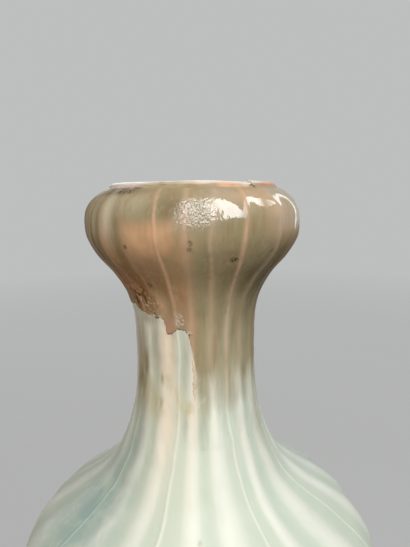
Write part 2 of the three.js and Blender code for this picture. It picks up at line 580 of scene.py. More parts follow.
def add_node(tree: Tree, kind: str, settings: dict | None = None, out: int | str = 0,
             **inputs) -> Socket:
    """Adds a node with its settings and links.

    Args:
        tree: the material's node tree.
        kind: the node's type.
        settings: properties of the node itself.
        out: number or name of the output that is wanted.
        inputs: values or sockets for its inputs, named as in feed.

    Returns:
        The output socket.
    """
    node = tree.nodes.new(kind)
    for key, value in (settings or {}).items():
        setattr(node, key, value)
    feed(node, **inputs)
    return node.outputs[out]


def shaded(name: str) -> tuple[Material, Tree, bpy.types.Node]:
    """Starts a material that has only a Principled shader on its output.

    Args:
        name: the material's name.

    Returns:
        The material, its node tree and the shader.
    """
    material = bpy.data.materials.new(name)
    material.use_nodes = True
    tree = material.node_tree
    tree.nodes.clear()
    shader = tree.nodes.new("ShaderNodeBsdfPrincipled")
    feed(tree.nodes.new("ShaderNodeOutputMaterial"), Surface=shader.outputs[0])
    return material, tree, shader


@dataclass(frozen=True)
class Grain:
    """A cloudy pattern of a real size on object coordinates."""

    size_mm: float
    low: float = 0.4
    high: float = 0.6
    least: float = 0.0
    detail: float = 4.0
    stretch: float = 1.0

    def cloud(self, tree: Tree) -> Socket:
        """The pattern itself, drawn out upwards by its stretch.

        Args:
            tree: the material's node tree.

        Returns:
            Noise from 0 to 1.
        """
        place = add_node(tree, "ShaderNodeTexCoord", out="Object")
        scaled = add_node(tree, "ShaderNodeMapping", Vector=place,
                          Scale=(1.0, 1.0, 1.0 / self.stretch))
        return add_node(tree, "ShaderNodeTexNoise", Vector=scaled, Scale=1.0 / (self.size_mm * MM),
                        Detail=self.detail, Roughness=0.55)

    def share(self, tree: Tree, most: float = 1.0) -> Socket:
        """The pattern with its contrast raised: the least share of most at low, and most at high."""
        return add_node(tree, "ShaderNodeMapRange", {"interpolation_type": "SMOOTHSTEP"},
                        Value=self.cloud(tree), From_Min=self.low, From_Max=self.high,
                        To_Min=self.least * most, To_Max=most)


@dataclass(frozen=True)
class Coat:
    """A coat of colour over what is there: the mark that carries it, and the grain that breaks it up.

    A mark is a number on the mesh. The coat begins where it passes low and is full at high.
    """

    colour: str
    mark: str = ""
    amount: float = 1.0
    low: float = 0.0
    high: float = 1.0
    grain: Grain | None = None

    def over(self, tree: Tree, base: Socket | tuple) -> Socket:
        """The colour after this coat lies on a base colour.

        Args:
            tree: the material's node tree.
            base: the colour under it.

        Returns:
            The mixed colour.
        """
        if self.mark:
            number = add_node(tree, "ShaderNodeAttribute", {"attribute_name": self.mark}, "Fac")
            share = add_node(tree, "ShaderNodeMapRange", Value=number, From_Min=self.low,
                             From_Max=self.high, To_Max=self.amount)
            if self.grain:
                share = add_node(tree, "ShaderNodeMath", {"operation": "MULTIPLY"}, in0=share,
                                 in1=self.grain.share(tree))
        else:
            share = self.grain.share(tree, self.amount)
        return add_node(tree, "ShaderNodeMix", {"data_type": "RGBA"}, 2, in0=share, in6=base,
                        in7=linear(self.colour))


def coated(tree: Tree, ground: str, coats: tuple[Coat, ...]) -> Socket:
    """The colour of a ground with coats laid on it in turn.

    Args:
        tree: the material's node tree.
        ground: sRGB hex of what lies under them all.
        coats: the coats, from the lowest up.

    Returns:
        The colour.
    """
    base = linear(ground)
    for coat in coats:
        base = coat.over(tree, base)
    return base


@dataclass(frozen=True)
class CeladonGlaze:
    """Celadon-glazed porcelain, fired in reduction.

    The iron-bearing glaze is pale where it runs thin over the ribs and greener where it pools in
    the valleys. It is softly glossy, with the slight unevenness of a melted surface.
    """

    rib: str = "#eaede0"
    coats: tuple[Coat, ...] = (
        # thin glaze on the sides of the ribs, and pooled glaze in the valleys
        Coat("#d8dfcf", "thick", high=0.4),
        Coat("#b9cab6", "thick", 0.7, low=0.25, high=0.8),
        Coat("#bccab9", amount=0.2, grain=Grain(22.0, 0.45, 0.75, detail=3.0)),
        # iron specks, drawn coarser than they are, because the real ones are too fine to show
        Coat("#8b7d60", amount=0.6, grain=Grain(2.2, 0.75, 0.8)),
        # thicker, bluer glaze, with painted cool shade on the left, and the pinkish cream of thin glaze
        # on bare clay
        Coat("#90aca8", "cool_glaze_and_shade", 0.8, grain=Grain(9.0, 0.3, 0.6, 0.6, stretch=2.5)),
        Coat("#f0dcc6", "peach", 0.85),
        # greyish traces of the paint that flaked off, and what is left of its olive and brown
        Coat("#a0937a", "haze", grain=Grain(2.6, 0.3, 0.6, 0.6, stretch=9.0)),
        Coat("#c2b88c", "residue", grain=Grain(3.5, 0.35, 0.6, 0.4, 5.0, 2.0)),
        Coat("#7a6c3a", "stain", grain=Grain(6.0, 0.3, 0.55, 0.5, 5.0, 2.0)),
        # on the lip: khaki paint, and russet, orange and pinkish bare patches
        Coat("#a29170", "khaki"),
        Coat("#8b6d45", "khaki", 0.5, grain=Grain(7.0, 0.45, 0.7)),
        Coat("#b07c58", "russet", 0.8, grain=Grain(5.0, 0.3, 0.55, 0.5)),
        Coat("#dfae90", "flush", grain=Grain(6.0, 0.35, 0.55, 0.5)),
        # pinkish white wear, with painted highlights along the top edge and by the break
        Coat("#e2d6ce", "bloom_and_highlight", 0.9, grain=Grain(4.0, 0.3, 0.5, 0.4)),
        # soot in the break, and painted shade in the crease under the lip
        Coat("#4a3826", "soot_and_crease_shade", grain=Grain(2.2, 0.4, 0.55, 0.3)),
    )
    roughness: float = 0.32
    specular: float = 0.16
    ior: float = 1.5
    melt: Grain = Grain(3.5, detail=3.0)
    melt_mm: float = 0.4
    melt_share: float = 0.12

    def colour(self, tree: Tree) -> Socket:
        """The glaze's colour, from how thick it lies and what is on it."""
        return coated(tree, self.rib, self.coats)

    def build(self) -> Material:
        """Makes the material.

        Returns:
            The material.
        """
        material, tree, shader = shaded(Slot.GLAZE.value)
        melt = add_node(tree, "ShaderNodeBump", Strength=self.melt_share, Distance=self.melt_mm * MM,
                        Height=self.melt.cloud(tree))
        feed(shader, Base_Color=self.colour(tree), Roughness=self.roughness, IOR=self.ior,
             Specular_IOR_Level=self.specular, Normal=melt)
        return material


@dataclass(frozen=True)
class AgedOverpaint:
    """Old restorer's paint under yellowed varnish.

    It is khaki to umber, streaked downwards by the brush, worn to a pinkish tan on the ridges, and
    has the wavy gloss and the pits of varnish that has aged. The varnish's IOR is above the real
    1.5, matched to how brightly it mirrors the windows.
    """

    khaki: str = "#a19173"
    coats: tuple[Coat, ...] = (
        # the paint as it was mixed: cloudy, greener where it is thick, streaked by the brush
        Coat("#8e8463", amount=0.55, grain=Grain(26.0, 0.42, 0.64, detail=3.0, stretch=1.6)),
        Coat("#8e8463", "thick", 0.5, 0.1, 0.6),
        Coat("#949172", "olive", 0.8),
        # painted shade: dark brown under the bulb all round, at its sides and in the crease under the lip
        Coat("#4e3a1e", "shade", 0.9),
        # painted shade in dark olive under the bulb and at its left edge, and darker olive paint near the
        # top
        Coat("#4e4a33", "dark_olive_and_shade", 0.9),
        # pale paint, and a pale band on the left of the bulb that is a painted reflection
        Coat("#cfc7b0", "pale", 0.8),
        # umber paint, which low on the bulb is partly painted shade
        Coat("#8f6238", "umber_and_shade", 0.9),
        # marks of the brush, drawn wider than a bristle's, which would be too fine to show
        Coat("#8a5f3c", amount=0.3, grain=Grain(3.0, 0.5, 0.72, detail=5.0, stretch=9.0)),
        Coat("#b3a583", amount=0.25, grain=Grain(2.4, 0.5, 0.7, detail=4.0, stretch=6.0)),
        # warm paint, with a painted warm reflection low on the front of the bulb and a painted orange
        # glow round the window highlights
        Coat("#daac86", "warm_and_reflection", 0.85, grain=Grain(5.0, 0.3, 0.6, 0.7, stretch=3.0)),
        # rosy paint on the tab, beside the torn edge and on the bulb
        Coat("#b68b73", "rose", 0.9),
        # worn lines: pinkish tan on the sharp ridges, a fainter tan on the crests of the ribs, partly a
        # painted highlight at the left
        Coat("#cda88a", "ridge", 0.9, grain=Grain(2.6, 0.3, 0.5, 0.5, stretch=5.0)),
        Coat("#bfa487", "crest", 0.9, grain=Grain(2.6, 0.3, 0.5, 0.4, stretch=5.0)),
        # the torn edge: dark and orange flakes, a ragged pale fringe, blisters, and painted glints of
        # lifted varnish
        Coat("#4f3517", "flaky", 0.8, grain=Grain(3.0, 0.46, 0.56, stretch=3.5)),
        Coat("#c9966c", "flaky", 0.7, grain=Grain(2.6, 0.52, 0.6, stretch=3.0)),
        Coat("#e6d3bd", "flaky", 0.7, grain=Grain(1.7, 0.58, 0.62)),
        Coat("#ebdfcc", "fringe", grain=Grain(1.8, 0.3, 0.44, 0.4, stretch=1.5)),
        Coat("#5a4326", "rim", 0.9),
        Coat("#cfc6b2", "blister", 0.65, grain=Grain(1.4, 0.44, 0.52)),
        Coat("#fff3e2", "painted_glint", grain=Grain(1.1, 0.44, 0.52)),
        Coat("#261d15", "chips", grain=Grain(1.2, 0.42, 0.5, detail=3.0)),
    )
    roughness: float = 0.34
    specular: float = 0.01
    ior: float = 1.5
    varnish_roughness: float = 0.05
    varnish_ior: float = 2.2
    streaks: Grain = Grain(4.0, 0.3, 0.7, 0.0, 5.0, 9.0)
    streak_share: float = 0.25
    bare_below: float = 0.14
    waves: Grain = Grain(5.0, detail=2.0)
    wave_mm: float = 0.6
    wave_share: float = 0.3
    pitting: Grain = Grain(1.6, detail=2.0)
    pit_mm: float = 1.5

    def build(self, glaze: CeladonGlaze) -> Material:
        """Makes the material, which thins out in streaks into the colour of the glaze under it.

        Args:
            glaze: the finish under it.

        Returns:
            The material.
        """
        material, tree, shader = shaded(Slot.PAINT.value)
        marks = {name: add_node(tree, "ShaderNodeAttribute", {"attribute_name": name}, "Fac")
                 for name in ("cover", "gloss", "pits")}
        layer = add_node(tree, "ShaderNodeMath", {"operation": "ADD"}, in0=marks["cover"],
                         in1=self.streaks.share(tree, self.streak_share))
        layer = add_node(tree, "ShaderNodeMapRange", Value=layer, From_Min=self.bare_below)
        colour = add_node(tree, "ShaderNodeMix", {"data_type": "RGBA"}, 2, in0=layer,
                          in6=glaze.colour(tree), in7=coated(tree, self.khaki, self.coats))
        waviness = add_node(tree, "ShaderNodeMapRange", Value=layer, To_Max=self.wave_share)
        wavy = add_node(tree, "ShaderNodeBump", Distance=self.wave_mm * MM, Strength=waviness,
                        Height=self.waves.cloud(tree))
        pitted = add_node(tree, "ShaderNodeBump", Distance=self.pit_mm * MM, Normal=wavy,
                          Strength=marks["pits"], Height=self.pitting.cloud(tree))
        rough = add_node(tree, "ShaderNodeMapRange", Value=layer, To_Min=glaze.roughness,
                         To_Max=self.roughness)
        varnish = add_node(tree, "ShaderNodeMath", {"operation": "MULTIPLY"}, in0=layer,
                           in1=marks["gloss"])
        feed(shader, Base_Color=colour, Roughness=rough, IOR=self.ior, Specular_IOR_Level=self.specular,
             Normal=pitted, Coat_Normal=pitted, Coat_Weight=varnish, Coat_IOR=self.varnish_ior,
             Coat_Roughness=self.varnish_roughness)
        return material


@dataclass(frozen=True)
class FootClay:
    """Unglazed biscuit of the foot, flashed orange-brown by the kiln, with glaze above a wavering line.

    The glaze begins where the height plus a slow wander passes a set level. The grit is drawn
    coarser than the clay's own, which would be too fine to show.
    """

    clay: str = "#a8734f"
    glazed: str = "#ccd6c6"
    coats: tuple[Coat, ...] = (
        Coat("#7c4d34", grain=Grain(6.0, 0.4, 0.65, detail=5.0)),
        Coat("#c39a78", amount=0.4, grain=Grain(2.0, 0.5, 0.65)),
    )
    roughness: float = 0.75
    glaze_above_mm: float = 3.2
    wander: Grain = Grain(14.0, 0.3, 0.7, detail=3.0)
    wander_mm: float = 2.4
    edge_mm: float = 0.3
    grit: Grain = Grain(0.8)
    grit_mm: float = 0.3
    grit_share: float = 0.5

    def build(self, glaze: CeladonGlaze) -> Material:
        """Makes the material.

        Args:
            glaze: the finish above the line.

        Returns:
            The material.
        """
        material, tree, shader = shaded(Slot.BISCUIT.value)
        place = add_node(tree, "ShaderNodeTexCoord", out="Object")
        height = add_node(tree, "ShaderNodeSeparateXYZ", out=2, Vector=place)
        level = add_node(tree, "ShaderNodeMath", {"operation": "ADD"}, in0=height,
                         in1=self.wander.share(tree, self.wander_mm * MM))
        line = self.glaze_above_mm + self.wander_mm / 2
        glazed = add_node(tree, "ShaderNodeMapRange", Value=level, From_Min=(line - self.edge_mm) * MM,
                          From_Max=(line + self.edge_mm) * MM)
        colour = add_node(tree, "ShaderNodeMix", {"data_type": "RGBA"}, 2, in0=glazed,
                          in6=coated(tree, self.clay, self.coats), in7=linear(self.glazed))
        rough = add_node(tree, "ShaderNodeMapRange", Value=glazed, To_Min=self.roughness,
                         To_Max=glaze.roughness)
        grit = add_node(tree, "ShaderNodeBump", Strength=self.grit_share, Distance=self.grit_mm * MM,
                        Height=self.grit.cloud(tree))
        feed(shader, Base_Color=colour, Roughness=rough, Normal=grit)
        return material


@dataclass(frozen=True)
class SlipClay:
    """Slip squeezed from a joint inside the wall, lumpy, under a thin wash of glaze."""

    wash: str = "#b4bda9"
    coats: tuple[Coat, ...] = (Coat("#98a290", grain=Grain(5.0, 0.35, 0.7)),)
    roughness: float = 0.4
    lumps: Grain = Grain(2.5)
    lump_mm: float = 0.5
    lump_share: float = 0.4

    def build(self) -> Material:
        """Makes the material.

        Returns:
            The material.
        """
        material, tree, shader = shaded(Slot.SLIP.value)
        lumps = add_node(tree, "ShaderNodeBump", Strength=self.lump_share, Distance=self.lump_mm * MM,
                         Height=self.lumps.cloud(tree))
        feed(shader, Base_Color=coated(tree, self.wash, self.coats), Roughness=self.roughness,
             Normal=lumps)
        return material


@dataclass(frozen=True)
class Patch:
    """A soft-edged mark at an angle and a drop, a bell by default and flatter with a higher power."""

    angle: float
    drop: float
    half_angle: float
    half_height: float
    weight: float = 1.0
    power: float = 2.0

    def at(self, angle: Array, drop: Array) -> Array:
        """Its strength: e to minus the sum of both distances, in half sizes, raised to the power."""
        off = np.abs(wrapped(angle - self.angle) / self.half_angle) ** self.power
        return self.weight * np.exp(-off - np.abs((drop - self.drop) / self.half_height) ** self.power)


Marks = dict[str, tuple[Patch, ...]]


def mark_table(rows: dict[str, tuple[tuple[float, ...], ...]]) -> Marks:
    """Turns rows of numbers into the patches of each mark.

    Args:
        rows: for each mark, rows of an angle, a drop and both half sizes, with a weight and a
            power where they differ from a patch's own.

    Returns:
        The patches of each mark.
    """
    return {name: tuple(Patch(*row) for row in table) for name, table in rows.items()}


def painted(marks: Marks, angle: Array, drop: Array) -> dict[str, Array]:
    """The strongest patch of each mark at each point, at most one."""
    return {name: np.minimum(np.max([p.at(angle, drop) for p in patches], axis=0), 1.0)
            for name, patches in marks.items()}


@dataclass
class GlazedSection:
    """A thrown and glazed section between two joints, with its plain inside."""

    name: str
    low: float
    high: float
    skin: Skin
    top_z: float
    marks: Marks
    step: float = 0.95
    inside_step: float = 6.0
    columns: int = 416

    def build(self, material: Material) -> Object:
        """Makes the section: the outside as a fine grid, the inside as a coarser one.

        The inside is the turned form less the wall, measured square to the slope.

        Args:
            material: its finish.

        Returns:
            The piece.
        """
        form = self.skin.form
        pattern = self.skin.flutes.columns(self.columns)
        z = form.heights(self.low, self.high, self.step)
        outer = self.skin.points(pattern, with_ghosts(z))
        down = with_ghosts(form.heights(self.low, self.high, self.inside_step)[::-1])
        radius, slope, wall = form.outside(down)
        bore = radius - wall * np.hypot(1.0, slope)
        inner = polar(self.skin.grid(pattern, down)[2], bore[:, None], down[:, None])
        grid_pattern, grid_z, real = self.skin.grid(pattern, z)
        values = {"thick": self.skin.thickness(grid_pattern, grid_z)}
        values.update(painted(self.marks, real, self.top_z - grid_z))
        sheets = [(sheet[1:-1], grid_normals(sheet)[1:-1]) for sheet in (outer, inner)]
        return dressed(ring_body(self.name, sheets, values), self.name, Slot.GLAZE, material)


@dataclass(frozen=True)
class Blister:
    """A raised oval ring in the paint, in millimetres, leaning over to the right by an angle."""

    angle: float
    drop: float
    half_width: float
    half_height: float
    lean: float = 0.0

    def at(self, angle: Array, drop: Array, radius: Array, width: float = 0.45) -> Array:
        """A bell about the ring: e to minus the square of the distance from the oval over the width.

        Args:
            angle: angles in degrees.
            drop: drops there.
            radius: radii there.
            width: millimetres.

        Returns:
            Numbers from 0 to 1.
        """
        across = wrapped(angle - self.angle) * np.radians(1.0) * radius
        upwards = self.drop - drop
        turn = math.radians(self.lean)
        u = (across * math.cos(turn) - upwards * math.sin(turn)) / self.half_width
        v = (across * math.sin(turn) + upwards * math.cos(turn)) / self.half_height
        away = (np.hypot(u, v) - 1.0) * min(self.half_width, self.half_height)
        return np.exp(-(away / width) ** 2)


@dataclass
class OverpaintSkin:
    """The skin of old overpaint. Where it has flaked off, its sheet dives under the glaze.

    Three numbers in a row are where something begins, where it ends and how soft its ends are.
    """

    skin: Skin
    top_z: float
    start: float
    end_drop: float = 160.0
    end_sink: float = 3.0
    end_fade: tuple[float, float] = (4.0, 22.0)
    thickness: float = 0.35
    thinnest: float = 0.15
    buried: float = 0.5
    # the window where it has flaked off, with its ragged edge
    window_middle: float = -43.0
    window_half: float = 40.2
    window_top: tuple[tuple[float, float], ...] = (
        (-95, 80), (-76, 74), (-62, 72.5), (-57, 75), (-47, 76), (-40, 77), (-36, 78.5), (-30, 77.5),
        (-26.8, 79.5), (-25.2, 88.3), (-21, 88), (-17, 85.5), (-15.5, 84.5), (-12, 85), (-8.5, 86),
        (-6, 88), (-4.5, 91), (-3.8, 95), (-3, 99), (0, 112),
    )
    tear: Ripple = field(default_factory=lambda: Ripple(21, 7.0, 40.0, 40))
    tear_size: float = 0.3
    fray: Ripple = field(default_factory=lambda: Ripple(22, 2.4, 40.0, 60))
    fray_size: float = 0.2
    edge_soft: float = 0.3
    # the line below which it thins out, which lies lower in the valleys than on the ribs
    fade_top: tuple[tuple[float, float], ...] = (
        (-180, 94), (-140, 100), (-100, 96), (-60, 98), (-12, 109), (2, 109), (10, 107), (20, 105),
        (40, 103), (60, 104), (90, 101), (130, 94), (180, 94),
    )
    fade_height: float = 41.0
    drips: Ripple = field(default_factory=lambda: Ripple(23, 26.0, 45.0))
    drip_size: float = 2.5
    valley_reach: float = 10.0
    # the dark rim of the torn edge, and the pale fringe low on its right side
    rim_share: float = 0.8
    rim_place: float = 0.2
    rim_width: float = 0.45
    rim_angles: tuple[float, float, float] = (-70.0, 3.0, 6.0)
    fringe_from: float = 90.0
    fringe_full: float = 100.0
    fringe_angles: tuple[float, float, float] = (-8.0, 3.0, 3.0)
    fringe_width: float = 1.1
    fringe_growth: float = 0.03
    fringe_gap: tuple[float, float, float] = (108.0, 125.0, 5.0)
    fringe_gap_share: float = 0.4
    marks: Marks = field(default_factory=lambda: mark_table({
        # warm paint, and painted warm reflection and orange glow on the bulb
        "warm_and_reflection": (
            (-20.5, 30, 13, 9.5, 0.85, 4.0), (30, 9, 24, 5, 0.4), (52, 22, 16, 10, 0.4),
            (46, 16, 8, 7, 0.6), (-6, 37, 6, 9, 0.5), (-46, 36, 5, 10, 0.4), (-8, 60, 9, 25, 0.35),
            (-27, 70, 6, 8, 0.5), (-2, 78, 2.5, 16, 0.5),
        ),
        # umber paint, partly painted shade under the bulb
        "umber_and_shade": (
            (-52, 60, 18, 16), (-35, 54, 9, 16, 0.8), (-20, 54, 11, 18, 0.5), (-9, 62, 6, 24, 0.5),
            (64, 46, 12, 16, 0.5),
        ),
        "olive": (
            (4, 60, 5, 60, 0.55), (25, 108, 30, 16, 0.7), (50, 100, 14, 30, 0.5), (-60, 17, 18, 13, 0.6),
            (0, 132, 14, 7, 0.8), (160, 90, 60, 30, 0.5), (-24, 15, 18, 7, 0.6, 4.0),
        ),
        # painted shade under the bulb all round, at its sides and in the crease under the lip
        "shade": (
            (-56, 50, 25, 20), (-24, 56, 12, 10, 0.3), (150, 50, 70, 15, 0.5), (-150, 50, 60, 15, 0.5),
            (-10, 13, 7, 8, 0.45), (40, 50, 30, 12, 0.3), (-47, 5.4, 19, 1.9, 0.95),
        ),
        # painted shade in dark olive under the bulb and at its left edge, with darker olive paint near
        # the top
        "dark_olive_and_shade": (
            (62, 54, 20, 22), (38, 56, 8, 12, 0.6), (-75, 25, 16, 20, 0.6), (-33, 13, 5, 9, 0.22),
            (-22, 17, 10, 5, 0.14, 4.0),
        ),
        # pale paint, with a painted reflection in the band at -44.5 degrees on the left of the bulb
        "pale": (
            (-44.5, 18, 4.5, 16, 0.9), (-56, 20, 2.5, 14, 0.5), (-68, 22, 4, 20, 0.4),
            (-36, 12, 4, 6, 0.4), (-28, 12, 6, 6, 0.3), (12, 92, 4, 26, 0.4), (28, 88, 4, 26, 0.6),
            (45, 100, 5, 18, 0.5), (18, 92, 12, 18, 0.25), (-27, 71, 5, 7, 0.3), (30, 112, 22, 14, 0.45),
            (120, 25, 12, 14, 0.4),
        ),
        "rose": ((-22, 84, 5, 6), (-3, 84, 3, 10, 0.7), (-24, 44, 8, 8, 0.3)),
        "gloss": (
            (3, 17, 9.5, 8, 1.4, 3.0), (14, 12, 9, 8.5, 1.6, 4.0), (30, 12, 4, 5, 1.4, 4.0),
            (56, 13, 16, 13, 1.4, 4.0), (-12, 80, 8, 7, 0.6), (140, 18, 50, 12, 0.8),
        ),
        "pits": ((0.5, 16.5, 9, 8, 1.0, 3.0), (-12, 78, 5, 4, 0.5), (-47, 68, 12, 7, 0.8)),
        "flaky": ((-48, 67, 11, 8, 1.0, 4.0), (-36, 71, 7, 7, 0.9)),
        # painted glints on the torn edge
        "painted_glint": ((-6.5, 86.4, 2.4, 0.9), (-37.5, 77.2, 2.2, 0.9), (-30, 77.4, 1.4, 0.7, 0.8)),
        "chips": (
            (20.5, 41.5, 2.4, 1.3), (-1.5, 31.5, 0.9, 1.2), (-2.0, 35.0, 0.9, 1.2), (-33, 34, 0.9, 1.0),
            (-30, 57, 1.9, 1.2), (-51, 69, 3, 3.0), (41, 38, 0.7, 0.8), (-5.6, 87.6, 2.2, 0.6),
            (-42, 5.6, 3.0, 1.2, 0.9), (-34, 5.4, 2.2, 1.0, 0.9),
        ),
    }))
    # how far the sharp ridges and the crests of the ribs are worn; the crest at -45 degrees is partly a
    # painted highlight
    worn: Marks = field(default_factory=lambda: mark_table({
        "ridge": (
            (-17, 44, 8, 42, 0.95, 4.0), (26, 34, 8, 34, 0.85, 4.0), (28, 92, 6, 36, 0.45),
            (-61, 30, 7, 40, 0.8), (0, 60, 1000, 1000, 0.35),
        ),
        "crest": (
            (-2, 95, 6, 50, 0.9), (-2, 24, 6, 30, 0.8), (9.5, 60, 7, 60, 0.85), (43, 32, 6, 38, 0.8),
            (-45, 24, 7, 20, 0.7), (0, 60, 1000, 1000, 0.35),
        ),
    }))
    crest_width: float = 1.6
    blisters: tuple[Blister, ...] = (
        Blister(-13.4, 76.0, 1.9, 1.0, 20.0), Blister(-11.4, 79.6, 1.3, 2.0, -25.0),
        Blister(-14.6, 80.5, 0.7, 1.6), Blister(4.5, 130.0, 0.8, 3.0, 35.0),
    )
    blister_height: float = 0.3
    # the mesh, closer about the torn edge
    step: float = 1.0
    inside_step: float = 8.0
    columns: int = 416
    close_angles: tuple[float, float, float] = (-60.0, 2.0, 12.0)
    more_columns: float = 1.3
    close_drops: tuple[float, float, float] = (68.0, 92.0, 6.0)
    more_rows: float = 0.8

    def off_edge(self, angle: Array, drop: Array, radius: Array) -> Array:
        """How far points lie inside the torn edge.

        The window is the part below its torn top and between its two sides. The distance is the
        larger of that above the top and that beside the sides, wandering by the two ripples.

        Args:
            angle: real angles.
            drop: drops there.
            radius: radii there.

        Returns:
            Millimetres, negative where the skin is gone.
        """
        turn = wrapped(angle - self.window_middle)
        tops = np.array(self.window_top)
        above = np.interp(wrapped(angle), tops[:, 0], tops[:, 1]) - drop
        beside = (np.abs(turn) - self.window_half) * np.radians(1.0) * radius
        torn, frayed = self.tear(angle, -drop), self.fray(angle, -drop)
        return np.maximum(above, beside) + self.tear_size * torn + self.fray_size * frayed

    def cover(self, angle: Array, z: Array, thick: Array) -> Array:
        """How thickly the paint lies.

        It is whole down to a line that sags in drips and lies lower in the valleys, thins out over
        the fade's height below it, and is gone a little above the end of the skin.

        Args:
            angle: real angles.
            z: heights there.
            thick: how deep the surface lies in the ribs there.

        Returns:
            Numbers from 1, whole, to 0, gone.
        """
        drop = self.top_z - z
        tops = np.array(self.fade_top)
        top = np.interp(wrapped(angle), tops[:, 0], tops[:, 1])
        top = top + self.drip_size * self.drips(angle, z)
        top = top - self.valley_reach * (self.skin.flutes.valley_share - thick)
        near, far = self.end_fade
        left = smooth(self.end_drop - near, self.end_drop - far, drop)
        return (1.0 - smooth(0.0, self.fade_height, drop - top)) * left

    def edge_marks(self, angle: Array, drop: Array, off: Array) -> dict[str, Array]:
        """The marks along the torn edge, each a bell of the distance inside it.

        The fringe widens downwards and is weaker in its gap. The rim is left out where it lies.

        Args:
            angle: real angles.
            drop: drops there.
            off: how far the points lie inside the edge.

        Returns:
            The rim and the fringe.
        """
        low = smooth(self.fringe_from, self.fringe_full, drop) * hill(angle, *self.fringe_angles)
        pale = low * (1.0 - self.fringe_gap_share * hill(drop, *self.fringe_gap))
        wide = self.fringe_width + self.fringe_growth * (drop - self.fringe_from)
        rim = np.exp(-((off - self.rim_place) / self.rim_width) ** 2) * hill(angle, *self.rim_angles)
        return {
            "fringe": pale * np.exp(-((off - self.fringe_width) / wide) ** 2),
            "rim": self.rim_share * (1.0 - low) * rim,
        }

    def build(self, material: Material, under: Marks) -> Object:
        """Makes the skin.

        Its lift off the glaze is its thickness times the cover, but never less than its thinnest,
        and where the paint is gone it sinks under the glaze. The blisters stand on top.

        Args:
            material: its finish.
            under: the marks of the glaze, which show where the skin thins out.

        Returns:
            The piece.
        """
        form, flutes = self.skin.form, self.skin.flutes
        pattern = flutes.columns(self.columns,
                                 lambda a: 1.0 + self.more_columns * hill(a, *self.close_angles))
        z = form.heights(self.top_z - self.end_drop, self.start, self.step,
                         lambda h: 1.0 + self.more_rows * hill(self.top_z - h, *self.close_drops))
        grid_pattern, grid_z, real = self.skin.grid(pattern, z)
        drop = self.top_z - grid_z
        thick = self.skin.thickness(grid_pattern, grid_z)
        radius = form.outside(grid_z)[0]
        off = self.off_edge(real, drop, radius)
        cover = self.cover(real, grid_z, thick)
        present = smooth(-self.edge_soft, self.edge_soft, off)
        present = present * smooth(self.end_drop, self.end_drop - self.end_sink, drop)
        rings = np.max([b.at(real, drop, radius) for b in self.blisters], axis=0)
        lift = self.thickness * present * (self.thinnest + (1.0 - self.thinnest) * cover)
        lift = lift - self.buried * (1.0 - present) + self.blister_height * present * rings
        outer = self.skin.points(pattern, z, lift)
        below = form.heights(z[0], z[-1], self.inside_step)[::-1]
        inner = self.skin.points(pattern, below, -2.0 * self.buried)
        worn = painted(self.worn, real, drop)
        ridge = flutes.bell(grid_pattern, radius, 1.0, flutes.ridge_width) * worn["ridge"]
        crest = flutes.bell(grid_pattern, radius, flutes.crest_place, self.crest_width) * worn["crest"]
        values = {"thick": thick, "cover": cover, "blister": rings, "ridge": ridge, "crest": crest}
        values.update(self.edge_marks(real, drop, off))
        values.update(painted(self.marks, real, drop))
        values.update(painted(under, real, drop))
        sheets = [(outer, grid_normals(outer)), (inner, -grid_normals(inner[::-1])[::-1])]
        piece = ring_body("overpaint_film", sheets, values)
        return dressed(piece, "overpaint_film", Slot.PAINT, material)


@dataclass
class Turned:
    """A small turned piece: an outline of radii and heights carried round the axis."""

    name: str
    slot: Slot
    outline: Array
    columns: int = 256
    solid: bool = False
    sharp_degrees: float = 35.0

    def build(self, material: Material) -> Object:
        """Makes the piece, with sharp edges where the outline turns by more than the sharp angle.

        Args:
            material: its finish.

        Returns:
            The piece.
        """
        angle = np.arange(self.columns) * FULL_TURN / self.columns
        points = polar(angle[None, :], self.outline[:, :1], self.outline[:, 1:])
        rows = len(self.outline)
        faces = grid_faces(rows, self.columns, not self.solid)
        caps = []
        if self.solid:
            first = np.arange(self.columns)
            caps = [first[::-1].tolist(), ((rows - 1) * self.columns + first).tolist()]
        piece = mesh_object(self.name, points.reshape(-1, 3), faces, caps=caps)
        piece.data.set_sharp_from_angle(angle=math.radians(self.sharp_degrees))
        return dressed(piece, self.name, self.slot, material)


